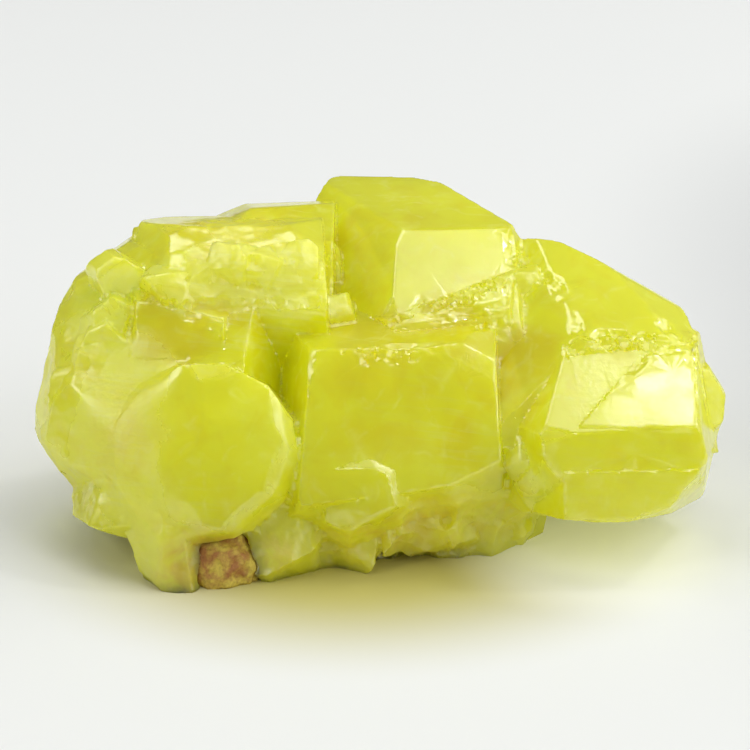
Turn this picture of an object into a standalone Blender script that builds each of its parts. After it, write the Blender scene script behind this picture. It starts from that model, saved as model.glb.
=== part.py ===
"""A cluster of native sulfur crystals grown together, 60 mm wide, lying on its broken underside.

The crystals are laid out in a drawing frame in millimetres: x to the right, y away from the display
side, z up. The display side is seen from DISPLAY_TILT_DEGREES above the horizon, so the finished cluster is
tipped forward by that angle, cut flat where it rests, and brought to metres.

A crystal is a block cut by one plane for each of its faces. A face is written as its compass bearing
in degrees (0 looks at the viewer, 90 to the right, 180 away), its rise above the horizontal in
degrees, and a point in millimetres on it.
"""

import math
import random

import bmesh
import bpy
from mathutils import Matrix, Quaternion, Vector

MM = 0.001
DISPLAY_TILT_DEGREES = 20
FLOOR_DROP = 13.44  # height of the drawing frame's origin over the resting plane
PIECE_GAP = 0.3  # clearance between the sulfur and the fragment of host rock
PLANE_TOLERANCE = 1e-5
SPECK = 0.004  # points closer than this are one point
SULFUR_YELLOW = (0.68, 0.66, 0.04)
ROCK_BROWN = (0.28, 0.12, 0.05)

# The big crystal on the right, with the broad sloping face.
RIGHT_HEART = (20, 0, -3)
RIGHT_FACES = [
    (4, -8, (21, -11.6, -4.6)),
    (2, 33, (21, -11.6, -4.6)),
    (4, 70, (22, -7.1, 2.6)),
    (72, 10, (26.9, -9.5, -2)),
    (78, -14, (28.2, -8, -6)),
    (70, -42, (26.3, -8.5, -9.6)),
    (55, -66, (23.5, -9, -11.6)),
    (180, -84, (19, -9, -12)),
    (-44, -34, (13.6, -9.6, -9)),
    (-58, 32, (13.6, -11.6, -4.6)),
    (-64, -6, (11.8, -8, -6)),
    (126, 12, (26.9, 0, 0)),
    (180, 5, (20, 9, 0)),
    (180, -50, (20, 6, -9)),
    (-120, 5, (9, 4, 0)),
]

# The shoulder above and behind it, which carries the skyline down to the right.
SHOULDER_HEART = (19, 2, 4)
SHOULDER_FACES = [
    (6, 48, (20, -5.4, 4.5)),
    (-35, 35, (13.2, -1.5, 6.5)),
    (40, 52, (24.6, -2, 6.2)),
    (90, 6, (27.4, -1, 2.5)),
    (100, 60, (23.6, 3, 7.7)),
    (150, 70, (19, 5, 10.6)),
    (175, 30, (19, 10, 7)),
    (130, 20, (25, 8, 3)),
    (180, -30, (19, 11, -2)),
    (0, -80, (19, 0, -8)),
    (-95, 10, (9.5, 0, 4)),
    (5, 5, (20, -7.4, 2)),
]

# The little crystal that shows past the right-hand edge.
SATELLITE_HEART = (27, -1, -2)
SATELLITE_FACES = [
    (34, 12, (28.4, -5.4, -2)),
    (-10, 20, (27, -6.2, -2)),
    (88, 34, (28.8, -2, 0.6)),
    (86, -6, (30.1, -2, -2.4)),
    (76, -38, (29.6, -3, -4.6)),
    (20, -50, (27.6, -5, -5.6)),
    (140, 5, (28.8, 1, -2)),
    (-90, 20, (23, 0, 0)),
    (0, -88, (27, 0, -5.8)),
    (20, 62, (27.4, -3, 1.6)),
]

# The crystal that stands highest, with the bright four-sided face.
TOP_HEART = (3, 6, 6)
TOP_FACES = [
    (5, 33, (1.4, -4, 5.6)),
    (3, 65, (6.5, 0.6, 12.6)),
    (105, 36, (12.3, -1, 14.6)),
    (66, 18, (11.5, -1.5, 10.2)),
    (-46, 27, (1.4, -4, 5.6)),
    (3, 3, (12, -3.9, 4.2)),
    (-85, 55, (-4.3, 8, 18.2)),
    (-100, 20, (-7.8, 9, 11)),
    (180, 42, (2, 13.4, 18.6)),
    (165, 8, (2, 15.8, 6)),
    (120, 12, (13.6, 9, 7)),
    (80, 5, (15, 0, 5)),
    (-90, 0, (-9, 4, 5)),
    (0, -80, (3, 2, -5)),
]

# The step in front of its lower right corner, whose upper edge is chipped.
STEP_HEART = (8, -2, 6)
STEP_FACES = [
    (12, 5, (7.5, -4.7, 5)),
    (-35, 65, (6.5, -3.2, 6.8)),
    (6, 34, (6.7, -4.9, 4.9)),
    (-56, 10, (0.8, -4.6, 4.4)),
    (70, 6, (11.9, -3, 6)),
    (46, 40, (11.2, -3.6, 7.6)),
    (180, 0, (8, 4, 6)),
    (0, -88, (8, -2, 0)),
]

# The blocky crystal in the middle.
CENTRE_HEART = (2, -2, -4)
CENTRE_FACES = [
    (3, 4, (2.1, -9.6, -3.2)),
    (-2, 68, (2.1, -9.2, 2.35)),
    (38, 48, (10.0, -8.8, 1.0)),
    (84, 4, (10.4, -8, -3)),
    (-66, 6, (-6.4, -8.2, -2)),
    (30, -40, (7.6, -8.8, -9.4)),
    (12, -50, (2.2, -8.8, -10.8)),
    (180, 0, (2, 8, -3)),
    (-100, -5, (-7, 0, -3)),
    (0, -80, (2, 0, -13.5)),
]

# The rounded smaller crystal at its lower left.
CENTRE_LOW_HEART = (-1.2, -4, -9)
CENTRE_LOW_FACES = [
    (-4, -6, (-1.4, -10.3, -8.5)),
    (-6, 32, (-1.4, -10.2, -7.4)),
    (24, 40, (1.0, -10, -7.6)),
    (40, 6, (1.8, -10, -9)),
    (-52, -2, (-4.1, -9.9, -9)),
    (34, -50, (0.4, -9.6, -12)),
    (-16, -52, (-2.6, -9.6, -13)),
    (-62, -30, (-4.8, -9, -12)),
    (-70, 20, (-4.9, -9, -6.8)),
    (74, 4, (2.9, -9, -9)),
    (180, 0, (-1, 3, -9)),
    (0, -85, (-1, -4, -15)),
]

# The rounded mass on the left.
LEFT_HEART = (-16, 1, -1)
LEFT_FACES = [
    (-92, 6, (-29.3, 0, -1.5)),
    (-60, 4, (-27.6, -5.6, -3)),
    (-36, -2, (-21.6, -9.9, -6)),
    (-90, 20, (-27.9, 0, 5.3)),
    (-52, 26, (-24.6, -5.2, 5)),
    (-92, 47, (-24.9, 1, 10.2)),
    (-48, 50, (-21.6, -2.6, 9.8)),
    (-70, 74, (-19.5, 1, 13.3)),
    (-14, 66, (-16, -1.6, 11.8)),
    (6, 78, (-10, 2, 13.2)),
    (-12, 25, (-16.5, -6.9, 4)),
    (-6, 7, (-14, -10.7, -6)),
    (-92, -36, (-28.2, -1, -6.7)),
    (-50, -44, (-24, -6, -9.4)),
    (-130, 10, (-26.2, 7, -1)),
    (50, 6, (-8.4, -7.4, -2)),
    (62, 4, (-7.6, -3.4, 0)),
    (92, 0, (-3, 2, 4)),
    (172, 24, (-15, 12.6, 5)),
    (-150, 30, (-21, 10, 7)),
    (178, -32, (-15, 11, -5)),
    (-120, -35, (-25, 6, -8)),
    (0, -85, (-15, 0, -14)),
]

# The milky ledge that stands out across its upper half.
LEDGE_HEART = (-12, 0, 8)
LEDGE_FACES = [
    (2, 20, (-11.6, -7.2, 7)),
    (-3, 48, (-11.6, -5.3, 10.4)),
    (-6, 80, (-12, -0.6, 13.3)),
    (93, 2, (-4.1, -5.2, 8)),
    (-50, 30, (-18.4, -6.0, 8.2)),
    (-6, -34, (-12, -7.3, 6.0)),
    (180, 0, (-12, 6, 8)),
    (-90, 8, (-21.6, -1, 8)),
    (44, 50, (-5.6, -3.6, 11.4)),
]

# The low ridge that links it to the top crystal.
SADDLE_HEART = (-7, 6, 12)
SADDLE_FACES = [
    (4, 58, (-8, 1.6, 13.4)),
    (-14, 80, (-9, 5, 15.2)),
    (-62, 62, (-13.5, 4, 13.8)),
    (178, 46, (-7, 10, 14.6)),
    (90, 0, (-3.6, 6, 12)),
    (170, 6, (-7, 15, 8)),
    (-95, 10, (-16, 6, 9)),
    (0, -80, (-7, 4, 3)),
    (0, 0, (-7, -1, 9)),
]

# The clear window under the milky ledge.
WINDOW_HEART = (-16, -4, 2)
WINDOW_FACES = [
    (-8, 12, (-16.6, -8.0, 2.5)),
    (8, 60, (-16.6, -7.0, 5.8)),
    (66, 4, (-11.8, -6.6, 3)),
    (-70, 6, (-20.6, -6.4, 3)),
    (-10, -30, (-16.6, -8.2, 1.2)),
    (180, 0, (-16, 2, 2)),
]

# The block at the lower left.
LOWER_LEFT_HEART = (-20, 1, -9)
LOWER_LEFT_FACES = [
    (-92, -8, (-25.9, -1, -10.5)),
    (-56, 14, (-24.4, -6, -9)),
    (-20, 4, (-19.6, -9.6, -9.5)),
    (-90, -70, (-23, -2, -13.0)),
    (-8, -58, (-19.5, -8.6, -13.2)),
    (-70, 52, (-25, -3, -8.4)),
    (40, 8, (-14, -9.6, -9)),
    (180, -12, (-20, 8.6, -9)),
    (-135, 0, (-25, 5, -10)),
    (0, 80, (-19, 0, -4)),
    (0, -86, (-19, 0, -16.5)),
]

# The foot that reaches down to the resting plane.
FOOT_HEART = (-17.4, -5, -15)
FOOT_FACES = [
    (-90, -18, (-20.4, -6, -14.6)),
    (-40, -6, (-19, -9.8, -15)),
    (4, -6, (-17, -10.8, -15)),
    (50, 2, (-14.7, -9.8, -15)),
    (88, -8, (-13.6, -6, -15)),
    (-70, -48, (-19.4, -8, -17)),
    (0, 60, (-17, -9.6, -11.6)),
    (180, -10, (-17, 5, -14)),
    (0, -88, (-17, -6, -20)),
]

# The dull lump under the disc.
LUMP_HEART = (-8.4, -4, -13)
LUMP_FACES = [
    (-6, 6, (-8.4, -8.9, -13)),
    (30, 16, (-6, -8.4, -12.4)),
    (-60, 4, (-11.2, -7.8, -15)),
    (-48, 40, (-10.2, -7.6, -11.6)),
    (30, 58, (-7, -7, -10.2)),
    (74, -10, (-3.9, -6, -14)),
    (40, -46, (-6.6, -7.8, -16.4)),
    (-20, -60, (-9.4, -8.4, -17.2)),
    (180, 0, (-8, 3, -13)),
    (0, -88, (-8, -4, -20)),
]

# Crystals on the far side.
BACK_LEFT_HEART = (-12, 6, 1)
BACK_LEFT_FACES = [
    (176, 34, (-12, 13.4, 3)),
    (-144, 20, (-19.6, 11, 2)),
    (140, 26, (-5, 12, 3)),
    (180, -24, (-12, 13.2, -2)),
    (170, 66, (-11, 10, 9.4)),
    (-90, 0, (-21.6, 9, 0)),
    (90, 0, (-3, 8, 2)),
    (0, -86, (-12, 8, -9)),
    (0, 0, (-12, 2, 2)),
]

BACK_RIGHT_HEART = (10, 8, -2)
BACK_RIGHT_FACES = [
    (172, 30, (10, 14.4, 1)),
    (128, 22, (16.4, 12.4, 0)),
    (-140, 24, (3, 13.6, 1)),
    (176, -20, (10, 14.6, -3)),
    (160, 64, (10, 11, 8)),
    (92, 4, (18.6, 8, -2)),
    (-92, 6, (1, 8, -2)),
    (0, -88, (10, 6, -14)),
    (0, 62, (10, 8, 8)),
    (0, 0, (10, 5, -2)),
]

BACK_FOOT_HEART = (0, 8, -8)
BACK_FOOT_FACES = [
    (180, 8, (0, 13.4, -7)),
    (-136, 2, (-9, 11, -8)),
    (134, 6, (12, 10.6, -8)),
    (-92, -6, (-13, 6, -9)),
    (92, -10, (15.6, 4, -9)),
    (0, 70, (0, 4, 0)),
    (-6, -12, (0, -3.4, -12)),
    (50, -18, (12.5, -2.6, -12)),
    (0, -89, (0, 4, -20)),
]

CRYSTALS = {
    "right": (RIGHT_HEART, RIGHT_FACES),
    "shoulder": (SHOULDER_HEART, SHOULDER_FACES),
    "satellite": (SATELLITE_HEART, SATELLITE_FACES),
    "top": (TOP_HEART, TOP_FACES),
    "step": (STEP_HEART, STEP_FACES),
    "centre": (CENTRE_HEART, CENTRE_FACES),
    "centre_low": (CENTRE_LOW_HEART, CENTRE_LOW_FACES),
    "left": (LEFT_HEART, LEFT_FACES),
    "ledge": (LEDGE_HEART, LEDGE_FACES),
    "saddle": (SADDLE_HEART, SADDLE_FACES),
    "window": (WINDOW_HEART, WINDOW_FACES),
    "lower_left": (LOWER_LEFT_HEART, LOWER_LEFT_FACES),
    "foot": (FOOT_HEART, FOOT_FACES),
    "lump": (LUMP_HEART, LUMP_FACES),
    "back_left": (BACK_LEFT_HEART, BACK_LEFT_FACES),
    "back_right": (BACK_RIGHT_HEART, BACK_RIGHT_FACES),
    "back_foot": (BACK_FOOT_HEART, BACK_FOOT_FACES),
}

# Corners and edges worn or broken to small facets: how many on each crystal, and how deep at most.
WORN = {
    "right": (14, 0.35),
    "shoulder": (20, 0.5),
    "satellite": (8, 0.3),
    "top": (14, 0.35),
    "step": (6, 0.2),
    "centre": (14, 0.35),
    "centre_low": (14, 0.4),
    "left": (60, 0.7),
    "ledge": (18, 0.45),
    "saddle": (12, 0.4),
    "window": (8, 0.25),
    "lower_left": (24, 0.5),
    "foot": (16, 0.4),
    "lump": (18, 0.4),
    "back_left": (16, 0.6),
    "back_right": (16, 0.6),
    "back_foot": (18, 0.6),
}
WORN_SEED = 5

# The rounded crystal in front of the left mass: an oval with a flat front and facetted rims.
DISC_CENTRE = Vector((-14.2, -6.3, -6.5))
DISC_HALF_WIDTH = 7.8
DISC_HALF_HEIGHT = 7.4
DISC_FRONT = 5.4
DISC_AXIS = (-12, 8)  # bearing and rise of its front face
DISC_SIDES = 13
DISC_RIMS = [(34, 0.98), (60, 0.88), (75, 0.7)]  # lean towards the viewer, and the share of the oval

# The remnant of host rock between the foot and the lump.
ROCK_HEART = (-12.6, -6.6, -15.4)
ROCK_FACES = [
    (-14, 4, (-13, -9.4, -15)),
    (28, -14, (-11.6, -9.2, -16)),
    (20, 44, (-12, -8.6, -13.9)),
    (-40, 38, (-14.2, -8.8, -14.2)),
    (-84, -6, (-15.4, -7, -15.6)),
    (-58, -24, (-14.9, -8.8, -16.4)),
    (84, 10, (-10.2, -7, -15.4)),
    (60, 30, (-10.9, -8, -14.4)),
    (170, 10, (-12.6, -3.4, -15)),
    (-130, 20, (-14.6, -4.6, -15)),
    (130, -10, (-11, -4.4, -15)),
    (0, 84, (-12.6, -6, -12.8)),
    (0, -88, (-12.6, -6, -20)),
]

# A broken lump: its number of flat sides, and how far each leans off an even spread.
FRAGMENT_SIDES = 13
FRAGMENT_JITTER = 0.35
GOLDEN_TURN = math.pi * (3 - math.sqrt(5))

# Broken lumps: the route they follow, how many, their sizes, how far they stray, and the seed.
RUBBLE = {
    "base_front": (
        [(-4, -4.4, -15.0), (1, -5.2, -13.6), (7, -4.0, -12.4), (12.5, -2.4, -10.8)],
        14,
        (1.7, 2.5),
        0.8,
        31,
    ),
    "base_low": (
        [(-3, -1.2, -15), (3, -1.8, -14.6), (9, -1, -13.6), (13, 0, -12.4)],
        7,
        (2.0, 2.7),
        0.7,
        12,
    ),
    "left_flank": ([(-22.6, -4.4, 5.0), (-24.2, -4.6, -1.2), (-21.8, -7.0, -6.6)], 8, (2.2, 2.8), 0.6, 15),
    "ledge": ([(-18.4, -5.4, 7.6), (-12, -5.9, 8.8), (-5.4, -5.4, 9.2)], 9, (1.5, 2.3), 0.6, 14),
    "milky": ([(12.5, -7, -6.4), (14, -8, -8.4), (12.6, -6.4, -10)], 5, (1.5, 2.2), 0.6, 13),
}

# Shell-like fractures at corners and edges: the crystal, a place on its surface, the bearing and rise
# it looks along, and the radius and depth of the ball's cap that hollows it out.
SCOOPS = [
    ("left", (-24.8, -5.4, 4.4), -50, 20, 8.0, 0.7),
    ("left", (-21.2, -2.8, 10.4), -44, 54, 6.0, 0.5),
    ("lower_left", (-17.6, -9.9, -11.6), -12, -10, 6.0, 0.6),
    ("ledge", (-15.6, -7.6, 9.0), -14, 26, 7.0, 0.6),
    ("lump", (-6.4, -8.9, -13.4), 12, 2, 5.0, 0.4),
    ("top", (12.6, 10.4, 11.0), 140, 24, 9.0, 0.9),
    ("back_left", (-17.8, 12.2, 3), -160, 26, 9.0, 0.8),
    ("back_foot", (8, 13.4, -4), 160, 20, 9.0, 0.9),
]

# Growth steps: thin plates that stand proud of a face and run off its edges.
RIGHT_LOW_STEP = [
    (4, -8, (21, -11.85, -4.6)),
    (2, 60, (21, -11.8, -8.1)),
    (-60, -4, (14.6, -10, -9)),
    (77, -14, (27.9, -8, -6)),
    (69, -42, (26.2, -8.5, -9.6)),
    (54, -66, (23.5, -9, -11.5)),
    (180, -84, (19, -9, -11.8)),
    (180, 0, (21, -6, -9)),
]
RIGHT_FACE_STEP = [
    (2, 33, (21, -11.76, -4.56)),
    (-62, 50, (20.4, -9, -0.4)),
    (71, 10, (26.75, -9.5, -2)),
    (4, 70, (22, -7.1, 2.5)),
    (0, -72, (21, -11.6, -4.3)),
    (180, 0, (22, -4, -1)),
]
GROWTH_STEPS = {
    "right_low_step": ((21, -10, -10), RIGHT_LOW_STEP),
    "right_face_step": ((23, -9, -1), RIGHT_FACE_STEP),
}

# The habit of a free sulfur crystal, as (angle from the long axis, angle round it, distance of the
# faces from the middle as a share of the size): steep pyramid, blunt pyramid, flat end.
HABIT = [(71.7, 50.9, 0.62), (45.2, 50.9, 0.84), (0, 0, 0.94)]

# Free crystals sunk in their neighbours: place, the bearing and rise of the long axis, the turn round
# it, and the size.
BUDS = [
    ((-25.2, -4.2, -1.6), -50, 60, 75, 3.2),
    ((-21.6, -2.6, 7.6), -40, 40, 10, 3.8),
    ((-15.8, -7.8, -12.6), -10, 20, 50, 2.7),
    ((12.9, -2.2, -2.6), -20, 60, 15, 3.2),
    ((13.0, 1.0, 6.6), 10, 60, 35, 3.4),
    ((-3.6, -1.8, 4.2), 10, 40, 55, 3.4),
    ((-13, 9, 2), 170, 30, 20, 9.2),
    ((3, 10, 2), -165, 22, 60, 10.4),
    ((16, 7, -1), 140, 20, 40, 9.0),
    ((-5, 9, -6), 180, -10, 10, 9.0),
    ((-18, 6, -4), -140, 0, 75, 8.2),
    ((10, 9, -7), 160, -15, 30, 8.6),
    ((5, 11, 9.4), 150, 50, 70, 7.4),
    ((-9, 12, 6.4), -170, 60, 40, 6.4),
    ((19, 9, 2.4), 165, 40, 80, 6.2),
    ((-1, 15.4, -2.4), 170, 10, 35, 5.6),
]

# Chipped edges, written as broken lumps are.
CHIPPED_EDGES = {
    "centre_edge": ([(-4.6, -9.9, 2.0), (8, -9.9, 2.1)], 9, (0.35, 0.75), 0.3, 23),
    "ledge_edge": ([(-18, -7.6, 6.0), (-4.6, -7.6, 6.1)], 9, (0.4, 0.8), 0.35, 25),
    "step_edge": (
        [(1.4, -5.0, 4.7), (5, -4.2, 6.1), (8, -3.1, 7.3), (11, -2.0, 8.5)],
        15,
        (0.45, 0.85),
        0.35,
        21,
    ),
    "right_edge": ([(16.6, -8.2, 2.6), (20.5, -7.4, 3.2), (26, -7.6, 2.9)], 10, (0.6, 1.1), 0.4, 22),
}


def direction(bearing, rise):
    """The unit vector that a face with this bearing and rise looks along."""
    bearing, rise = math.radians(bearing), math.radians(rise)
    return Vector((math.sin(bearing) * math.cos(rise), -math.cos(bearing) * math.cos(rise), math.sin(rise)))


def new_object(name, mesh):
    """An object in the scene from a bmesh, which is used up."""
    data = bpy.data.meshes.new(name)
    mesh.to_mesh(data)
    mesh.free()
    made = bpy.data.objects.new(name, data)
    bpy.context.scene.collection.objects.link(made)
    return made


def cut_away(mesh, outward, point):
    """Takes away what lies beyond a plane, and closes the cut."""
    cut = bmesh.ops.bisect_plane(
        mesh,
        geom=mesh.verts[:] + mesh.edges[:] + mesh.faces[:],
        dist=PLANE_TOLERANCE,
        plane_co=point,
        plane_no=outward,
        clear_outer=True,
    )
    rim = [item for item in cut["geom_cut"] if isinstance(item, bmesh.types.BMEdge)]
    if rim:
        bmesh.ops.edgenet_fill(mesh, edges=rim)


def cut_block(name, heart, planes, reach=26):
    """A convex solid: a block round the heart, cut by each plane (normal, point)."""
    mesh = bmesh.new()
    bmesh.ops.create_cube(mesh, size=2 * reach, matrix=Matrix.Translation(Vector(heart)))
    for outward, point in planes:
        cut_away(mesh, outward, point)
    bmesh.ops.recalc_face_normals(mesh, faces=mesh.faces[:])
    return new_object(name, mesh)


def crystal(name, heart, faces):
    """A crystal from its faces, each a (bearing, rise, point)."""
    planes = [(direction(bearing, rise), Vector(point)) for bearing, rise, point in faces]
    return cut_block(name, heart, planes)


def wear(solid, count, depth, rng):
    """Cuts small facets where a solid reaches farthest in random directions."""
    mesh = bmesh.new()
    mesh.from_mesh(solid.data)
    for _ in range(count):
        outward = random_direction(rng)
        reach = max(vertex.co.dot(outward) for vertex in mesh.verts)
        cut_away(mesh, outward, outward * (reach - depth * rng.uniform(0.25, 1)))
    bmesh.ops.recalc_face_normals(mesh, faces=mesh.faces[:])
    mesh.to_mesh(solid.data)
    mesh.free()


def disc():
    """The rounded crystal: side and rim facets set round an oval."""
    axis = direction(*DISC_AXIS)
    planes = [(axis, DISC_CENTRE + DISC_FRONT * axis), (-axis, DISC_CENTRE - DISC_FRONT * axis)]
    for side in range(DISC_SIDES):
        angle = 2 * math.pi * (side + 0.3) / DISC_SIDES
        outward = Vector((math.cos(angle), 0, math.sin(angle)))
        reach = math.hypot(DISC_HALF_WIDTH * outward.x, DISC_HALF_HEIGHT * outward.z)
        planes.append((outward, DISC_CENTRE + reach * outward))
        for lean, share in DISC_RIMS:
            lean = math.radians(lean)
            rim = math.cos(lean) * outward + math.sin(lean) * axis
            planes.append((rim, DISC_CENTRE + share * reach * outward + DISC_FRONT * axis))
    return cut_block("disc", DISC_CENTRE, planes)


def random_direction(rng):
    """An even spread of unit vectors."""
    rise = rng.uniform(-1, 1)
    turn = rng.uniform(0, 2 * math.pi)
    flat = math.sqrt(1 - rise * rise)
    return Vector((flat * math.cos(turn), flat * math.sin(turn), rise))


def fragment(name, heart, size, rng):
    """A broken lump: flat sides all round it, at uneven distances from its middle."""
    heart = Vector(heart)
    roll = Quaternion(random_direction(rng), rng.uniform(0, 2 * math.pi))
    planes = []
    for side in range(FRAGMENT_SIDES):
        rise = 1 - (2 * side + 1) / FRAGMENT_SIDES
        flat = math.sqrt(1 - rise * rise)
        turn = side * GOLDEN_TURN
        even = roll @ Vector((flat * math.cos(turn), flat * math.sin(turn), rise))
        outward = (even + random_direction(rng) * FRAGMENT_JITTER).normalized()
        planes.append((outward, heart + outward * size * rng.uniform(0.7, 1.05)))
    return cut_block(name, heart, planes, reach=1.2 * size)


def along(route, share):
    """The place at this share (0 to 1) of a route of points, spaced evenly by leg."""
    legs = len(route) - 1
    leg = min(int(share * legs), legs - 1)
    return Vector(route[leg]).lerp(Vector(route[leg + 1]), share * legs - leg)


def rubble(name, route, count, sizes, scatter, seed):
    """Broken lumps strung along a route, as a list of objects."""
    rng = random.Random(seed)
    lumps = []
    for number in range(count):
        place = along(route, (number + 0.5) / count) + random_direction(rng) * scatter * rng.random()
        lumps.append(fragment(f"{name}_{number}", place, rng.uniform(*sizes), rng))
    return lumps


def scoop(name, place, bearing, rise, radius, depth):
    """A ball whose cap hollows out a shell-like fracture."""
    centre = Vector(place) + direction(bearing, rise) * (radius - depth)
    mesh = bmesh.new()
    bmesh.ops.create_icosphere(mesh, subdivisions=3, radius=radius, matrix=Matrix.Translation(centre))
    return new_object(name, mesh)


def bud(name, place, bearing, rise, turn, size):
    """A free crystal with the sulfur habit, its long axis along the bearing and rise."""
    place = Vector(place)
    roll = Quaternion((0, 0, 1), math.radians(turn))
    stand = direction(bearing, rise).to_track_quat("Z", "Y") @ roll
    planes = []
    for lean, quarter, share in HABIT:
        lean, quarter = math.radians(lean), math.radians(quarter)
        spread = math.sin(lean)
        rounds = (quarter, math.pi - quarter, math.pi + quarter, -quarter) if lean else (0,)
        for end in (1, -1):
            for angle in rounds:
                local = Vector((spread * math.cos(angle), spread * math.sin(angle), end * math.cos(lean)))
                outward = stand @ local
                planes.append((outward, place + outward * share * size))
    return cut_block(name, place, planes, reach=2 * size)


def combine(base, operand, operation):
    """Joins the operand to the base, or carves it out, and uses it up."""
    modifier = base.modifiers.new(operation.title(), "BOOLEAN")
    modifier.operation = operation
    modifier.solver = "EXACT"
    modifier.object = operand
    graph = bpy.context.evaluated_depsgraph_get()
    result = bpy.data.meshes.new_from_object(base.evaluated_get(graph))
    base.modifiers.remove(modifier)
    base.data = result
    bpy.data.objects.remove(operand)


def clear_scene():
    for item in list(bpy.data.objects):
        bpy.data.objects.remove(item)


def grow_cluster():
    """All the crystals in one solid, in the drawing frame."""
    grown = {name: crystal(name, heart, faces) for name, (heart, faces) in CRYSTALS.items()}
    rng = random.Random(WORN_SEED)
    for name, (count, depth) in WORN.items():
        wear(grown[name], count, depth, rng)
    for name, *how in SCOOPS:
        combine(grown[name], scoop("scoop", *how), "DIFFERENCE")
    solids = list(grown.values())
    solids.append(disc())
    solids += [crystal(name, heart, faces) for name, (heart, faces) in GROWTH_STEPS.items()]
    solids += [bud(f"bud_{number}", *how) for number, how in enumerate(BUDS)]
    for name, (route, count, sizes, scatter, seed) in RUBBLE.items():
        solids.extend(rubble(name, route, count, sizes, scatter, seed))
    cluster = solids[0]
    for other in solids[1:]:
        combine(cluster, other, "UNION")
    for name, (route, count, sizes, scatter, seed) in CHIPPED_EDGES.items():
        for chip in rubble(name, route, count, sizes, scatter, seed):
            combine(cluster, chip, "DIFFERENCE")
    cluster.name = "sulfur_crystals"
    return cluster


def rock_fragment():
    """The remnant of host rock, and the same form grown by the gap, which hollows out its seat."""
    planes = [(direction(bearing, rise), Vector(point)) for bearing, rise, point in ROCK_FACES]
    seat_planes = [(outward, point + outward * PIECE_GAP) for outward, point in planes]
    return cut_block("matrix_fragment", ROCK_HEART, planes), cut_block("seat", ROCK_HEART, seat_planes)


def cut_at_floor(solid):
    """Takes away what lies below the resting plane, in the drawing frame."""
    down = direction(180, DISPLAY_TILT_DEGREES - 90)
    mesh = bmesh.new()
    mesh.from_mesh(solid.data)
    cut_away(mesh, down, down * FLOOR_DROP)
    bmesh.ops.recalc_face_normals(mesh, faces=mesh.faces[:])
    mesh.to_mesh(solid.data)
    mesh.free()


def connected(vertex):
    """All the vertices that edges join to this one."""
    found = {vertex}
    fresh = [vertex]
    while fresh:
        ends = [end for edge in fresh.pop().link_edges for end in edge.verts]
        new = set(ends) - found
        found |= new
        fresh.extend(new)
    return found


def drop_crumbs(mesh):
    """Keeps the largest body: the cuts can leave a crumb loose at an edge."""
    left = set(mesh.verts)
    bodies = []
    while left:
        bodies.append(connected(next(iter(left))))
        left -= bodies[-1]
    bodies.sort(key=len)
    crumbs = [vertex for body in bodies[:-1] for vertex in body]
    bmesh.ops.delete(mesh, geom=crumbs, context="VERTS")


def tidy(solid):
    """Drops crumbs, merges slivers that the joining left, and shades the facets flat."""
    mesh = bmesh.new()
    mesh.from_mesh(solid.data)
    drop_crumbs(mesh)
    bmesh.ops.remove_doubles(mesh, verts=mesh.verts[:], dist=SPECK)
    bmesh.ops.dissolve_degenerate(mesh, edges=mesh.edges[:], dist=SPECK)
    bmesh.ops.triangulate(mesh, faces=mesh.faces[:])
    mesh.to_mesh(solid.data)
    mesh.free()
    solid.data.shade_flat()


def settle(solids):
    """Tips the drawing frame onto the resting plane, centres it over the origin, and goes to metres."""
    tip = Matrix.Rotation(-math.radians(DISPLAY_TILT_DEGREES), 4, "X")
    tip = Matrix.Translation((0, 0, FLOOR_DROP)) @ tip
    for solid in solids:
        solid.data.transform(tip)
    corners = [vertex.co for solid in solids for vertex in solid.data.vertices]
    middle = [(min(c[axis] for c in corners) + max(c[axis] for c in corners)) / 2 for axis in (0, 1)]
    place = Matrix.Scale(MM, 4) @ Matrix.Translation((-middle[0], -middle[1], 0))
    for solid in solids:
        solid.data.transform(place)


def finish(solid, name, colour, roughness, glow):
    """Gives a piece its own Principled material."""
    material = bpy.data.materials.new(name)
    material.use_nodes = True
    shader = material.node_tree.nodes["Principled BSDF"]
    shader.inputs["Base Color"].default_value = (*colour, 1)
    shader.inputs["Roughness"].default_value = roughness
    shader.inputs["Metallic"].default_value = 0
    shader.inputs["Subsurface Weight"].default_value = glow
    shader.inputs["Subsurface Radius"].default_value = (MM, MM, 0.2 * MM)
    solid.data.materials.clear()
    solid.data.materials.append(material)


def main():
    clear_scene()
    cluster = grow_cluster()
    rock, seat = rock_fragment()
    combine(cluster, seat, "DIFFERENCE")
    for solid in (cluster, rock):
        cut_at_floor(solid)
        tidy(solid)
    settle((cluster, rock))
    finish(cluster, "sulfur", SULFUR_YELLOW, 0.2, 0.4)
    finish(rock, "host_rock", ROCK_BROWN, 0.8, 0)


main()
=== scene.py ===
"""The looks of the native sulfur cluster: its worn, see-through surface, the rock, floor and light.

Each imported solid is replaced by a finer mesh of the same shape. Its flat crystal faces stay flat and
glossy, its edges are worn, its broken parts are rough, and growth lines run over some of its faces.
What the material needs to know about each place on the surface is kept in vertex attributes.

Places are written in the cluster's drawing frame, in millimetres: x to the right, y away from the
display side, z up, seen straight on from 20 degrees above the horizon. settle() brings them to the
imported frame, which is in metres.
"""

import math

import bmesh
import bpy
import numpy as np
from mathutils import Matrix, Vector, kdtree, noise
from mathutils.bvhtree import BVHTree


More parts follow.
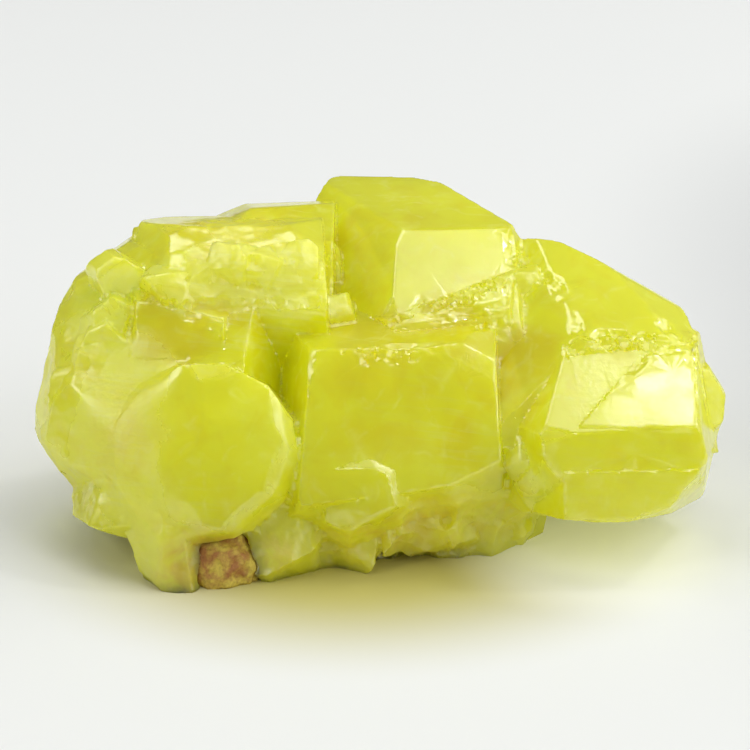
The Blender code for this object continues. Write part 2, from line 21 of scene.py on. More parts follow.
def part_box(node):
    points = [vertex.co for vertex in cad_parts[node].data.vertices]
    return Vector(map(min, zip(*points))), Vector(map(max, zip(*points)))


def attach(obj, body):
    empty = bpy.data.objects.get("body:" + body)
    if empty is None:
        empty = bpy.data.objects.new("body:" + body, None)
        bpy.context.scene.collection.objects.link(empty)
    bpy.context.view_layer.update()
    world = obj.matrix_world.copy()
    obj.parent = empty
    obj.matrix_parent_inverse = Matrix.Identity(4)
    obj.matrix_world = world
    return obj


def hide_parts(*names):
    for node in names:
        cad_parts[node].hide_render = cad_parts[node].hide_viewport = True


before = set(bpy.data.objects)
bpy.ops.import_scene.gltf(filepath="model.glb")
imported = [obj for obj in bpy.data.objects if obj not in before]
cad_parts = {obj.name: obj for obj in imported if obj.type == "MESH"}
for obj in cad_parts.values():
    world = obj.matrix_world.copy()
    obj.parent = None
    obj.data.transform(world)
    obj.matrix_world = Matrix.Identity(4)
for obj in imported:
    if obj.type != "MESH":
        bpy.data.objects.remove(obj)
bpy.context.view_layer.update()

MM = 0.001
DISPLAY_TILT = math.radians(20)
# The drawing frame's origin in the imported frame, in millimetres.
DRAWING_ORIGIN = (-0.206, -2.279, 13.44)

# The surface's mesh.
VOXEL = 0.20 * MM
MOST_TRIANGLES = 190_000
CREASE = math.radians(22)
SHARP = math.radians(14)  # an edge that bends more than this is a crystal edge
COPLANAR = math.radians(1.5)
EDGE_STEP = 0.12 * MM
EDGE_SNAP = 0.45  # of a voxel
SMALL_FACE = 2 * MM * MM  # a crystal face of this area or less isn't calm at all
BIG_FACE = 14 * MM * MM  # one of this area or more is wholly calm
FAR = 1.0  # a distance for places with no edge near them
WEAR_START = 0.05 * MM  # a crystal edge is worn fully up to here, and not at all past the next
WEAR_END = 0.35 * MM
WEAR_ROUNDS = 2
NORMAL_ROUNDS = 2
RELIEF_DEPTH = 0.4 * MM
BOWL = 2.1 * MM
SMALL_BOWL = 1.1 * MM
SMALL_FACE_RELIEF = 0.2  # the share of the relief that small faces get
GROUND_MARGIN = 0.05 * MM  # what lies this near the resting plane isn't carved
CHIP_PATTERN = 1.3 * MM
BRUISE_WIDTH = 0.5 * MM  # how far from an edge its wear shows as a paler colour

ROCK_VOXEL = 0.16 * MM
ROCK_GROWTH = 0.3 * MM
ROCK_GRAIN = 0.25 * MM
GRAIN_SIZE = 0.9 * MM

TONE_SEED = 7
NOISE_SEED = 3  # noise vectors start from the clock if they aren't given one

LAMP_DISTANCE = 1.5
DARK_ROOM = 0.2
BRIGHT_ROOM = 0.42
CAMERA_DISTANCE = 182
LENS = 99.84
SENSOR = 36

# Where the cluster is broken and rough: the middle of each zone, its radius, and how strong it is.
BROKEN = [
    ((5, -5, -13), 6.5, 1.0),
    ((-2, -6, -15), 5.0, 1.0),
    ((11, -3, -11), 4.5, 0.9),
    ((-8.5, -8, -14), 5.0, 0.6),
    ((-17, -9, -15), 5.0, 0.6),
    ((-24, -5, -8), 6.0, 0.3),
    ((-26, -3, 0), 6.0, 0.25),
    ((-13, -7, 9), 5.0, 0.6),
    ((-7, -6, 9), 4.0, 0.5),
    ((-12, -1, 13.5), 5.0, 0.5),
    ((0, 12, -9), 6.0, 0.7),
    ((-13, 12, 0), 4.5, 0.5),
    ((15, 12, -3), 4.0, 0.5),
]
# Where fine fractures make it pale and cloudy.
MILKY = [
    ((-17, -8, 9), 4.5, 0.8),
    ((-11, -8, 9), 4.5, 0.85),
    ((-6, -7, 8.5), 4.0, 0.7),
    ((-23.5, -5, 7), 5.0, 0.8),
    ((-21, -8, 1.5), 3.0, 0.6),
    ((-24, -7, -3), 3.0, 0.5),
    ((-17.5, -10, -10), 2.6, 0.5),
    ((14.5, -8, -8), 3.6, 1.0),
    ((-9, -12, -4.5), 5.0, 0.6),
    ((9, 13, 2), 5.0, 0.8),
    ((-14, 11, 7), 5.0, 0.8),
    ((24, 4, 2), 5.0, 0.6),
]
# Where it is clear and deep in colour.
CLEAR = [
    ((-17, -7, 4), 4.2, 1.0),
    ((-11, -6, 5.5), 3.2, 0.8),
    ((-8.2, -8, -2), 3.4, 0.2),
    ((12.6, -5, 0), 5.0, 1.0),
    ((-2, 2, 12), 6.0, 0.4),
    ((-12, 0, 13), 8.0, 0.6),
    ((-19, -9, -6), 3.0, 0.7),
    ((0, -7, 3.5), 5.0, 1.0),
    ((7, -6, 3.5), 4.5, 1.0),
    ((4.5, -9, -2), 7.0, 0.5),
    ((2, 13, 8), 5.0, 0.9),
    ((18, 9, 2), 5.0, 0.7),
]
# Where growth lines run across it, level with the display.
LINED = [
    ((7.5, -9.6, -5), 4.5, 0.7),
    ((21, -11, -8), 8.0, 0.25),
    ((-11, -7, 8), 7.5, 1.6),
    ((-5.5, -5, 7), 4.0, 1.0),
    ((3, -9.6, 0), 5.0, 0.3),
    ((-24, -5, 6), 5.0, 0.8),
    ((-22, -8, 1), 5.5, 0.9),
    ((-22, -9, -7), 5.5, 0.7),
    ((-14, -10, -11), 4.0, 0.5),
    ((4, 14, 3), 8.0, 0.9),
    ((27, 0, -2), 6.0, 0.6),
]
# Where a crystal edge is chipped into small glinting facets.
CHIPPED = [
    ((8, -3.5, 7.5), 4.5, 1.0),
    ((12.5, 0, 11.5), 2.5, 0.8),
    ((15, -3, 8.5), 2.5, 0.8),
    ((20, -7, 3), 4.5, 1.0),
    ((26, -6, 3), 3.0, 0.8),
    ((2, -8.5, 1.5), 4.0, 0.8),
    ((-15.5, -7.5, 3.2), 2.5, 0.7),
    ((-26, -4, -4), 2.0, 0.6),
]
# Where it is browner: around the rock, where iron from the host rock stains it; low on the broken base
# just above the floor, where the browner tint is painted shade; and faintly on the left side.
STAIN_AND_SHADE = [
    ((-14, -10.5, -16), 4.2, 1.0),
    ((-8.5, -10, -15), 2.5, 0.6),
    ((-17, -10, -17), 2.0, 0.5),
    ((-20.5, -8, -4), 4.0, 0.22),
    ((0, -7, -13), 4.0, 0.3),
    ((6, -6, -14), 4.0, 0.3),
]
# Where one crystal runs into the next without an edge, wholly at strength 1.
BLENDED = [
    ((-20.5, -9, 0), 4.5, 1.0),
    ((-21.5, -9.5, -5), 5.0, 1.0),
    ((-20, -10, -10), 3.5, 0.8),
]
BLEND_WIDTH = 2 * MM
CALM_ROUNDS = 4


def settle(place):
    """A place in the drawing frame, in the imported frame."""
    turned = Matrix.Rotation(-DISPLAY_TILT, 3, "X") @ Vector(place)
    return (turned + Vector(DRAWING_ORIGIN)) * MM


def smooth(values, low, high):
    """0 below low, 1 above high, and an even S between them."""
    share = np.clip((values - low) / (high - low), 0, 1)
    return share * share * (3 - 2 * share)


def get_points(mesh):
    flat = np.empty(3 * len(mesh.vertices), dtype=np.float32)
    mesh.vertices.foreach_get("co", flat)
    return flat.reshape(-1, 3).astype(float)


def set_points(mesh, points):
    mesh.vertices.foreach_set("co", points.astype(np.float32).ravel())
    mesh.update()


def get_normals(mesh):
    flat = np.empty(3 * len(mesh.vertices), dtype=np.float32)
    mesh.vertex_normals.foreach_get("vector", flat)
    return flat.reshape(-1, 3).astype(float)


def edge_ends(mesh):
    flat = np.empty(2 * len(mesh.edges), dtype=np.int32)
    mesh.edges.foreach_get("vertices", flat)
    return flat.reshape(-1, 2)


def spread(mesh, values, rounds):
    """Values averaged with their neighbours', as often as rounds says."""
    ends = edge_ends(mesh)
    values = np.array(values, dtype=float)
    count = np.bincount(ends.ravel(), minlength=len(values)) + 1.0
    if values.ndim == 2:
        count = count[:, None]
    for _ in range(rounds):
        total = values.copy()
        np.add.at(total, ends[:, 0], values[ends[:, 1]])
        np.add.at(total, ends[:, 1], values[ends[:, 0]])
        values = total / count
    return values


def smoothed_normals(mesh):
    normals = spread(mesh, get_normals(mesh), NORMAL_ROUNDS)
    return normals / np.linalg.norm(normals, axis=1)[:, None]


def clouds(points, size, octaves=3, offset=0.0):
    """Smooth noise from about -1 to 1, with features of this size."""
    start = Vector((offset, 2.3 * offset, -1.7 * offset))
    return np.array([noise.fractal(Vector(p) / size + start, 1.0, 2.0, octaves) for p in points])


def shards(points, size, offset=0.0):
    """Relief of a broken surface: each cell is a small plane of its own tilt."""
    heights = np.empty(len(points))
    start = Vector((offset, offset, offset))
    for number, point in enumerate(points):
        place = Vector(point) / size + start
        distances, cells = noise.voronoi(place)
        near = noise.noise_vector(cells[0] * 7.7).normalized().dot(place - cells[0])
        next_one = noise.noise_vector(cells[1] * 7.7).normalized().dot(place - cells[1])
        blend = min(1.0, 4 * (distances[1] - distances[0]))
        heights[number] = near * (0.5 + 0.5 * blend) + next_one * (0.5 - 0.5 * blend)
    return heights


def bowls(points, size, offset=0.0):
    """Depth of a conchoidal fracture, 0 on the ridges between its bowls and about 1 in their middles."""
    start = Vector((offset, offset, offset))
    depths = np.empty(len(points))
    for number, point in enumerate(points):
        distances, _ = noise.voronoi(Vector(point) / size + start)
        depths[number] = distances[0]
    return np.clip(1 - (depths / 0.75) ** 2, 0, 1)


class Solid:
    """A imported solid, its flat faces and its crystal edges, for looking places up."""

    def __init__(self, node):
        self.mesh = bmesh.new()
        self.mesh.from_mesh(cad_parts[node].data)
        bmesh.ops.remove_doubles(self.mesh, verts=self.mesh.verts[:], dist=1e-6)
        self.mesh.faces.ensure_lookup_table()
        self.mesh.normal_update()
        self.tree = BVHTree.FromBMesh(self.mesh)
        self.find_faces()
        self.find_edges()

    def find_faces(self):
        """Numbers the flat faces, each of them made of triangles in one plane."""
        self.face_of = np.full(len(self.mesh.faces), -1)
        areas = []
        for seed in self.mesh.faces:
            if self.face_of[seed.index] >= 0:
                continue
            number = len(areas)
            self.face_of[seed.index] = number
            area = 0.0
            fresh = [seed]
            while fresh:
                face = fresh.pop()
                area += face.calc_area()
                for edge in face.edges:
                    for other in edge.link_faces:
                        if self.face_of[other.index] < 0 and other.normal.angle(seed.normal, 4) < COPLANAR:
                            self.face_of[other.index] = number
                            fresh.append(other)
            areas.append(area)
        self.areas = np.array(areas)

    def find_edges(self):
        """Points along every crystal edge, and whether that edge stands out."""
        starts, ends, convex, samples = [], [], [], []
        for edge in self.mesh.edges:
            angle = edge.calc_face_angle_signed(0)
            if abs(angle) < SHARP:
                continue
            start, end = edge.verts[0].co.copy(), edge.verts[1].co.copy()
            steps = max(1, math.ceil((end - start).length / EDGE_STEP))
            for step in range(steps + 1):
                samples.append((start.lerp(end, step / steps), len(starts)))
            starts.append(start)
            ends.append(end)
            convex.append(angle > 0)
        self.starts, self.ends = starts, ends
        self.convex = np.array(convex)
        self.samples = samples
        self.edge_tree = kdtree.KDTree(len(samples))
        for number, (point, _) in enumerate(samples):
            self.edge_tree.insert(point, number)
        self.edge_tree.balance()

    def nearest_edge(self, point):
        """(closest point, distance, stands out) of the crystal edge nearest to a point."""
        _, sample, _ = self.edge_tree.find(point)
        edge = self.samples[sample][1]
        along = self.ends[edge] - self.starts[edge]
        share = (point - self.starts[edge]).dot(along) / max(along.length_squared, 1e-18)
        place = self.starts[edge] + along * min(1.0, max(0.0, share))
        return place, (place - point).length, self.convex[edge]


def dense_copy(node, name, voxel):
    """A new object with the node's shape in small even quads."""
    piece = bpy.data.objects.new(name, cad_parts[node].data.copy())
    bpy.context.scene.collection.objects.link(piece)
    remesh = piece.modifiers.new("dense", "REMESH")
    remesh.mode = "VOXEL"
    remesh.voxel_size = voxel
    graph = bpy.context.evaluated_depsgraph_get()
    dense = bpy.data.meshes.new_from_object(piece.evaluated_get(graph))
    piece.modifiers.remove(remesh)
    piece.data = dense
    return piece


def zone(points, places):
    """How much each point lies in a list of balls (place, radius, strength), fading at their rims."""
    share = np.zeros(len(points))
    for place, radius, strength in places:
        distance = np.linalg.norm(points - np.array(settle(place)), axis=1) / (radius * MM)
        share = np.maximum(share, strength * (1 - smooth(distance, 0.55, 1.15)))
    return share


def look_up(solid, points, voxel):
    """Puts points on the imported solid, with its crystal edges kept, and reads each place.

    Returns the points, the areas of the flat faces they lie on, the numbers of those faces, and the
    distances to the crystal edge nearest to each, where that edge stands out.
    """
    placed = np.empty((len(points), 3))
    faces = np.empty(len(points), dtype=int)
    out_edge = np.full(len(points), FAR)
    for number, point in enumerate(points):
        nearest, _, index, _ = solid.tree.find_nearest(Vector(point))
        edge, distance, stands_out = solid.nearest_edge(nearest)
        placed[number] = edge if distance < EDGE_SNAP * voxel else nearest
        faces[number] = solid.face_of[index]
        if stands_out:
            out_edge[number] = distance
    return placed, solid.areas[faces], faces, out_edge


def add_attribute(mesh, name, values):
    attribute = mesh.attributes.new(name, "FLOAT", "POINT")
    attribute.data.foreach_set("value", np.asarray(values, dtype=np.float32))


def sculpt(mesh, solid, voxel):
    """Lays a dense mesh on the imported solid, wears its edges and roughens its broken parts."""
    points, areas, _, out_edge = look_up(solid, get_points(mesh), voxel)
    blended = zone(points, BLENDED)[:, None]
    points += (spread(mesh, points, round((BLEND_WIDTH / voxel) ** 2)) - points) * blended
    set_points(mesh, points)
    normals = smoothed_normals(mesh)
    broken = zone(points, BROKEN)
    chipped = zone(points, CHIPPED)
    calm = smooth(areas, SMALL_FACE, BIG_FACE) * (1 - broken)

    edge = 1 - smooth(out_edge, WEAR_START, WEAR_END)
    worn = points + (spread(mesh, points, WEAR_ROUNDS) - points) * edge[:, None]
    crumble = np.maximum(broken, SMALL_FACE_RELIEF * (1 - calm))
    crumble = np.maximum(crumble, chipped * (1 - smooth(out_edge, 0.3 * MM, 0.9 * MM)))
    rough = crumble > 0.02
    relief = np.zeros(len(points))
    relief[rough] = bowls(points[rough], BOWL, 3.0) + 0.5 * bowls(points[rough], SMALL_BOWL, 8.0)
    moved = worn - normals * (crumble * RELIEF_DEPTH * relief)[:, None]
    moved[:, 2] = np.where(points[:, 2] < GROUND_MARGIN, points[:, 2], moved[:, 2])
    set_points(mesh, moved)


def keep_above_ground(mesh):
    """Lifts what has sunk below the resting plane back onto it."""
    points = get_points(mesh)
    points[:, 2] = np.maximum(points[:, 2], 0)
    set_points(mesh, points)


def thin_out(piece):
    """Takes triangles away where the surface is flat, down to the most that a piece may have."""
    triangles = 2 * len(piece.data.polygons)
    if triangles > MOST_TRIANGLES:
        bake(piece, "DECIMATE", ratio=MOST_TRIANGLES / triangles)


def bake(piece, kind, **settings):
    """Puts a modifier on a piece and applies it."""
    modifier = piece.modifiers.new(kind.title(), kind)
    for name, value in settings.items():
        setattr(modifier, name, value)
    graph = bpy.context.evaluated_depsgraph_get()
    made = bpy.data.meshes.new_from_object(piece.evaluated_get(graph))
    piece.modifiers.remove(modifier)
    piece.data = made


def describe(mesh, solid, voxel):
    """Keeps in attributes what the material needs to know about each place."""
    points = get_points(mesh)
    _, areas, faces, out_edge = look_up(solid, points, voxel)
    broken = zone(points, BROKEN)
    blended = zone(points, BLENDED)
    calm = smooth(areas, SMALL_FACE, BIG_FACE) * (1 - broken) * (1 - blended)
    chips = smooth(clouds(points, CHIP_PATTERN, 3, 5.0), -0.1, 0.6)
    tones = np.random.default_rng(TONE_SEED).uniform(-1, 1, len(solid.areas))
    add_attribute(mesh, "broken", broken)
    add_attribute(mesh, "milky", zone(points, MILKY))
    add_attribute(mesh, "clear", zone(points, CLEAR))
    add_attribute(mesh, "lined", zone(points, LINED))
    add_attribute(mesh, "tinted", zone(points, STAIN_AND_SHADE))
    add_attribute(mesh, "blended", blended)
    add_attribute(mesh, "tone", tones[faces] * (1 - blended))
    add_attribute(mesh, "calm", spread(mesh, calm, CALM_ROUNDS))
    bruised = (1 - smooth(out_edge, 0, BRUISE_WIDTH)) * chips * (1 - blended)
    add_attribute(mesh, "worn", bruised)


def sulfur_surface():
    """The cluster's surface, with its material."""
    voxel = VOXEL
    piece = dense_copy("sulfur_crystals", "sulfur_surface", voxel)
    solid = Solid("sulfur_crystals")
    sculpt(piece.data, solid, voxel)
    thin_out(piece)
    mesh = piece.data
    keep_above_ground(mesh)
    describe(mesh, solid, voxel)
    mesh.shade_smooth()
    mesh.set_sharp_from_angle(angle=CREASE)
    bake(piece, "WEIGHTED_NORMAL", keep_sharp=True)
    piece.data.materials.clear()
    piece.data.materials.append(sulfur_material())
    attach(piece, "root")
    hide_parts("sulfur_crystals")


def rock_surface():
    """The remnant of host rock, grainy, filling its seat in the sulfur."""
    piece = dense_copy("matrix_fragment", "matrix_surface", ROCK_VOXEL)
    mesh = piece.data
    points = get_points(mesh)
    normals = smoothed_normals(mesh)
    grain = shards(points, GRAIN_SIZE, 2.0)
    outward = ROCK_GROWTH + ROCK_GRAIN * grain
    lowest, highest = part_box("matrix_fragment")
    middle, half = (lowest + highest) / 2, (highest - lowest) / 2
    aside = (points - np.array(middle)) / np.array(half)
    rim = smooth(np.maximum(abs(aside[:, 0]), abs(aside[:, 2])), 0.5, 1.0)
    moved = points + normals * outward[:, None]
    moved[:, 1] = np.maximum(moved[:, 1], lowest.y)
    moved[:, 2] = np.maximum(moved[:, 2], 0)
    set_points(mesh, moved)
    add_attribute(mesh, "rim", rim)
    mesh.shade_smooth()
    mesh.materials.clear()
    mesh.materials.append(rock_material())
    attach(piece, "root")
    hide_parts("matrix_fragment")


class Shader:
    """A material's node tree, with short calls for the nodes that are used here."""

    def __init__(self, name):
        self.material = bpy.data.materials.new(name)
        self.material.use_nodes = True
        self.tree = self.material.node_tree
        self.principled = self.tree.nodes["Principled BSDF"]
        self.output = self.tree.nodes["Material Output"]
        self.place = self.node("ShaderNodeTexCoord").outputs["Object"]

    def node(self, kind, **settings):
        made = self.tree.nodes.new(kind)
        for name, value in settings.items():
            setattr(made, name, value)
        return made

    def feed(self, socket, value):
        """Links an output to a socket, or sets its value."""
        if isinstance(value, bpy.types.NodeSocket):
            self.tree.links.new(value, socket)
        else:
            socket.default_value = value

    def attribute(self, name):
        return self.node("ShaderNodeAttribute", attribute_name=name).outputs["Fac"]

    def squeezed(self, sizes, turn=(0, 0, 0)):
        """The place turned, then divided by a size for each axis, for patterns drawn out one way."""
        made = self.node("ShaderNodeMapping", vector_type="TEXTURE")
        self.feed(made.inputs["Vector"], self.place)
        made.inputs["Rotation"].default_value = turn
        made.inputs["Scale"].default_value = sizes
        return made.outputs["Vector"]

    def clouds(self, size, detail=3.0, distortion=0.0, place=None):
        """Noise of 0 to 1 with features of about this size in metres."""
        made = self.node("ShaderNodeTexNoise")
        self.feed(made.inputs["Vector"], place or self.place)
        self.feed(made.inputs["Scale"], 1 / size)
        self.feed(made.inputs["Detail"], detail)
        self.feed(made.inputs["Distortion"], distortion)
        return made.outputs["Fac"]

    def math(self, operation, first, second, third=0, clamp=False):
        made = self.node("ShaderNodeMath", operation=operation, use_clamp=clamp)
        for socket, value in zip(made.inputs, (first, second, third)):
            self.feed(socket, value)
        return made.outputs[0]

    def ramp(self, value, low, high, start=0.0, end=1.0):
        """A value carried from the span low to high onto the span start to end."""
        made = self.node("ShaderNodeMapRange")
        self.feed(made.inputs["Value"], value)
        self.feed(made.inputs["From Min"], low)
        self.feed(made.inputs["From Max"], high)
        self.feed(made.inputs["To Min"], start)
        self.feed(made.inputs["To Max"], end)
        return made.outputs["Result"]

    def mix(self, share, first, second):
        """Colours mixed by a share."""
        made = self.node("ShaderNodeMix", data_type="RGBA")
        self.feed(made.inputs["Factor"], share)
        colours = [socket for socket in made.inputs if socket.type == "RGBA"]
        for socket, colour in zip(colours, (first, second)):
            self.feed(socket, colour if isinstance(colour, bpy.types.NodeSocket) else (*colour, 1))
        return next(socket for socket in made.outputs if socket.type == "RGBA")

    def veils(self, size, thin, distortion=1.0):
        """1 along thin curved sheets through the solid, and 0 between them."""
        off = self.math("ABSOLUTE", self.math("SUBTRACT", self.clouds(size, 2.0, distortion), 0.5), 0)
        return self.ramp(off, 0, thin, 1, 0)

    def bump(self, height, distance, strength=1.0, below=None):
        made = self.node("ShaderNodeBump")
        self.feed(made.inputs["Height"], height)
        self.feed(made.inputs["Distance"], distance)
        self.feed(made.inputs["Strength"], strength)
        if below is not None:
            self.feed(made.inputs["Normal"], below)
        return made.outputs["Normal"]

    def set(self, name, value):
        self.feed(self.principled.inputs[name], value)


SULFUR = (0.91, 0.925, 0.015)
SULFUR_CLEAR = (0.85, 0.78, 0.004)
SULFUR_MILKY = (0.77, 0.81, 0.07)
SULFUR_DULL = (0.85, 0.78, 0.06)
SULFUR_VEIL = (0.94, 0.96, 0.30)
SULFUR_STAIN_AND_SHADE = (0.76, 0.55, 0.02)
SULFUR_IOR = 1.9
SCATTER_RADIUS = (1.0, 0.95, 0.12)
SCATTER_SCALE = 7 * MM
ABSORB_COLOUR = (0.999, 0.995, 0.10)
ABSORB_DENSITY = 260


def sulfur_material():
    shader = Shader("sulfur")
    broken = shader.attribute("broken")
    milky = shader.attribute("milky")
    clear = shader.attribute("clear")
    calm = shader.attribute("calm")
    worn = shader.attribute("worn")
    lined = shader.attribute("lined")
    tone = shader.attribute("tone")
    tinted = shader.attribute("tinted")
    wide = shader.clouds(7 * MM, 4.0, 0.6)
    middle = shader.clouds(2.2 * MM, 4.0, 0.8)
    fine = shader.clouds(0.45 * MM, 3.0)
    level = shader.squeezed((4 * MM, 3 * MM, 0.5 * MM), (-DISPLAY_TILT, 0.12, 0))
    lines = shader.clouds(1, 3.0, 0.4, level)
    veils = shader.math("MAXIMUM", shader.veils(9 * MM, 0.03, 0.2), shader.veils(4 * MM, 0.05, 0.3))

    cloudy = shader.math("ADD", milky, shader.ramp(wide, 0.35, 0.7, -0.3, 0.35))
    cloudy = shader.math("MULTIPLY_ADD", tone, 0.12, cloudy)
    cloudy = shader.math("MULTIPLY", cloudy, shader.ramp(middle, 0.3, 0.7, 0.4, 1.3), clamp=True)
    veiled = shader.math("MULTIPLY", veils, shader.ramp(middle, 0.45, 0.7, 0, 0.28), clamp=True)
    mottle = shader.ramp(shader.clouds(3.4 * MM, 3.0, 0.5), 0.4, 0.65, -0.25, 0.5)
    deep = shader.math("ADD", clear, mottle, clamp=True)
    colour = shader.mix(deep, SULFUR, SULFUR_CLEAR)
    colour = shader.mix(cloudy, colour, SULFUR_MILKY)
    dull = shader.math("MULTIPLY", broken, shader.ramp(middle, 0.35, 0.65, 0.2, 0.8), clamp=True)
    colour = shader.mix(dull, colour, SULFUR_DULL)
    colour = shader.mix(veiled, colour, SULFUR_VEIL)
    streaks = shader.math("MULTIPLY", lined, shader.ramp(lines, 0.5, 0.75, 0, 0.35), clamp=True)
    colour = shader.mix(streaks, colour, SULFUR_VEIL)
    colour = shader.mix(shader.math("MULTIPLY", worn, 0.2), colour, SULFUR_MILKY)
    # Browner: a stain around the rock, and painted shade low on the base.
    stain_and_shade = shader.math("MULTIPLY", tinted, shader.ramp(middle, 0.3, 0.7, 0.2, 1.2), clamp=True)
    colour = shader.mix(stain_and_shade, colour, SULFUR_STAIN_AND_SHADE)
    shader.set("Base Color", colour)

    see_through = shader.ramp(cloudy, 0.0, 0.8, 0.27, 0.1)
    see_through = shader.math("MULTIPLY", see_through, shader.ramp(broken, 0, 1, 1, 0.4))
    see_through = shader.math("MULTIPLY", see_through, shader.ramp(veiled, 0, 1, 1, 0.2), clamp=True)
    shader.set("Transmission Weight", see_through)
    shader.set("Subsurface Weight", 1.0)
    shader.principled.inputs["Subsurface Radius"].default_value = SCATTER_RADIUS
    shader.set("Subsurface Scale", SCATTER_SCALE)
    shader.set("IOR", SULFUR_IOR)
    rough = shader.ramp(calm, 0, 1, 0.3, 0.1)
    rough = shader.math("MULTIPLY_ADD", broken, 0.2, rough)
    rough = shader.math("MULTIPLY_ADD", shader.attribute("blended"), 0.15, rough)
    rough = shader.math("ADD", rough, shader.ramp(middle, 0.3, 0.7, -0.04, 0.08), clamp=True)
    shader.set("Roughness", rough)
    uneven = shader.math("MULTIPLY", fine, shader.ramp(calm, 0, 1, 1, 0.03))
    normal = shader.bump(uneven, 0.08 * MM, 0.6)
    normal = shader.bump(shader.math("MULTIPLY", lines, lined), 0.05 * MM, 0.5, normal)
    shader.set("Normal", normal)

    absorb = shader.node("ShaderNodeVolumeAbsorption")
    absorb.inputs["Color"].default_value = (*ABSORB_COLOUR, 1)
    absorb.inputs["Density"].default_value = ABSORB_DENSITY
    shader.tree.links.new(absorb.outputs["Volume"], shader.output.inputs["Volume"])
    return shader.material


ROCK = (0.40, 0.17, 0.045)
ROCK_STAINED = (0.64, 0.50, 0.07)
ROCK_DARK = (0.16, 0.06, 0.03)


def rock_material():
    shader = Shader("host_rock")
    middle = shader.clouds(1.2 * MM, 4.0, 0.5)
    fine = shader.clouds(0.25 * MM, 3.0)
    rim = shader.math("MULTIPLY", shader.attribute("rim"), 0.7)
    tinted = shader.math("ADD", shader.ramp(middle, 0.42, 0.65), rim, clamp=True)
    colour = shader.mix(tinted, ROCK, ROCK_STAINED)
    colour = shader.mix(shader.ramp(fine, 0.45, 0.75, 0, 0.4), colour, ROCK_DARK)
    shader.set("Base Color", colour)
    shader.set("Roughness", shader.ramp(fine, 0.2, 0.8, 0.55, 0.9))
    shader.set("Normal", shader.bump(fine, 0.12 * MM))
    return shader.material


FLOOR = (0.80, 0.81, 0.79)
# Painted light and shade on the card, their middles and half sizes: a painted yellowish shadow around the
# cluster, a painted pool of the light that the crystals let through onto the card, and painted shade that
# makes the card dimmer on the right.
PAINTED_SHADOW_POOL = ((-0.002, -0.010, 0), (0.031, 0.024, 1))
PAINTED_LIGHT_POOL = ((0.019, -0.009, 0), (0.015, 0.015, 1))
PAINTED_SHADE_POOL = ((0.078, 0.03, 0), (0.062, 0.16, 1))
FLOOR_PAINTED_SHADOW = (0.50, 0.455, 0.125)
PAINTED_LIGHT_COLOUR = (1.0, 1.0, 0.72)
FLOOR_PAINTED_SHADE = (0.60, 0.61, 0.60)
PAINTED_LIGHT_STRENGTH = 0.19


def pool(shader, middle, sizes):
    """1 in the middle of an oval on the floor, and 0 outside it."""
    spot = shader.node("ShaderNodeMapping", vector_type="TEXTURE")
    shader.feed(spot.inputs["Vector"], shader.place)
    spot.inputs["Location"].default_value = middle
    spot.inputs["Scale"].default_value = sizes
    away = shader.node("ShaderNodeVectorMath", operation="LENGTH")
    shader.feed(away.inputs[0], spot.outputs["Vector"])
    share = shader.node("ShaderNodeMapRange", interpolation_type="SMOOTHSTEP")
    shader.feed(share.inputs["Value"], away.outputs["Value"])
    share.inputs["From Min"].default_value = 0.3
    share.inputs["From Max"].default_value = 1.0
    share.inputs["To Min"].default_value = 1.0
    share.inputs["To Max"].default_value = 0.0
    return share.outputs["Result"]


def floor_material():
    """Pale card, with painted light and shade: a painted yellowish shadow, a painted glow of the light
    that the crystals let through onto it, and painted shade on the right.
    """
    shader = Shader("floor")
    pale = pool(shader, *PAINTED_LIGHT_POOL)
    # Painted shadow: the card is darker and yellower around the cluster, and less so where the painted
    # glow is.
    painted_shadow = shader.math("MULTIPLY", pool(shader, *PAINTED_SHADOW_POOL), shader.ramp(pale, 0, 1, 1, 0.2))
    # Painted shade: the card is darker towards the right.
    card = shader.mix(pool(shader, *PAINTED_SHADE_POOL), FLOOR, FLOOR_PAINTED_SHADE)
    shader.set("Base Color", shader.mix(painted_shadow, card, FLOOR_PAINTED_SHADOW))
    # Painted light: the card glows under the right crystal, as emission.
    shader.set("Emission Color", (*PAINTED_LIGHT_COLOUR, 1))
    shader.set("Emission Strength", shader.math("MULTIPLY", pale, PAINTED_LIGHT_STRENGTH))
    shader.set("Roughness", 0.9)
    return shader.material


def build_floor():
    mesh = bpy.data.meshes.new("floor")
    mesh.from_pydata([(-2, -2, 0), (2, -2, 0), (2, 2, 0), (-2, 2, 0)], [], [(0, 1, 2, 3)])
    floor = bpy.data.objects.new("floor", mesh)
    bpy.context.scene.collection.objects.link(floor)
    mesh.materials.append(floor_material())


def lamp(name, bearing, rise, width, radiance):
    """A soft square light seen from the cluster at a bearing and rise, width across, all in degrees."""
    bearing, rise = math.radians(bearing), math.radians(rise)
    level = math.cos(rise)
    towards = Vector((math.sin(bearing) * level, -math.cos(bearing) * level, math.sin(rise)))
    data = bpy.data.lights.new(name, "AREA")
    data.size = 2 * LAMP_DISTANCE * math.tan(math.radians(width / 2))
    data.energy = math.pi * data.size**2 * radiance
    made = bpy.data.objects.new(name, data)
    made.location = towards * LAMP_DISTANCE
    made.rotation_euler = towards.to_track_quat("Z", "Y").to_euler()
    bpy.context.scene.collection.objects.link(made)


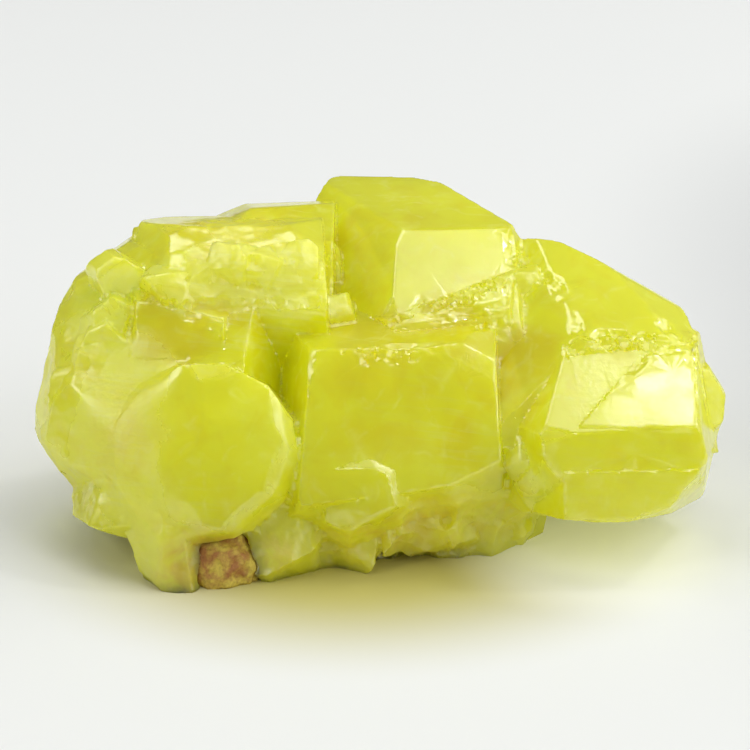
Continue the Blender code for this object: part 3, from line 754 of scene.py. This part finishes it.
def light():
    lamp("softbox", 85, 76, 34, 1.15)
    lamp("right", 112, 40, 40, 1.8)
    lamp("front_right", 60, 28, 36, 2.2)
    lamp("left", -140, 72, 26, 2.8)
    lamp("front_left", -65, 34, 30, 3.1)
    lamp("spark", 77, 76, 6, 6)
    lamp("glint_right", 104, 56, 5, 30)
    lamp("glint_left", -30, 58, 4, 20)


def studio():
    """The room: bright on the right and overhead, darker elsewhere."""
    world = bpy.data.worlds.new("studio")
    world.use_nodes = True
    tree = world.node_tree
    place = tree.nodes.new("ShaderNodeTexCoord")
    parts = tree.nodes.new("ShaderNodeSeparateXYZ")
    bright = tree.nodes.new("ShaderNodeMath")
    bright.operation = "MULTIPLY_ADD"
    bright.inputs[1].default_value = 0.6
    strength = tree.nodes.new("ShaderNodeMapRange")
    strength.interpolation_type = "SMOOTHSTEP"
    strength.inputs["From Min"].default_value = 0.4
    strength.inputs["From Max"].default_value = 0.9
    strength.inputs["To Min"].default_value = DARK_ROOM
    strength.inputs["To Max"].default_value = BRIGHT_ROOM
    background = tree.nodes["Background"]
    background.inputs["Color"].default_value = (0.97, 0.98, 1.0, 1)
    tree.links.new(place.outputs["Generated"], parts.inputs["Vector"])
    tree.links.new(parts.outputs["Z"], bright.inputs[0])
    tree.links.new(parts.outputs["X"], bright.inputs[2])
    tree.links.new(bright.outputs["Value"], strength.inputs["Value"])
    tree.links.new(strength.outputs["Result"], background.inputs["Strength"])
    bpy.context.scene.world = world


def camera():
    data = bpy.data.cameras.new("camera")
    data.lens = LENS
    data.sensor_width = SENSOR
    data.clip_start = 0.01
    made = bpy.data.objects.new("camera", data)
    made.location = settle((0, -CAMERA_DISTANCE, 0))
    made.rotation_euler = (math.pi / 2 - DISPLAY_TILT, 0, 0)
    bpy.context.scene.collection.objects.link(made)
    bpy.context.scene.camera = made


noise.seed_set(NOISE_SEED)
camera()
build_floor()
light()
studio()
sulfur_surface()
rock_surface()
bpy.context.scene.view_settings.view_transform = "Standard"
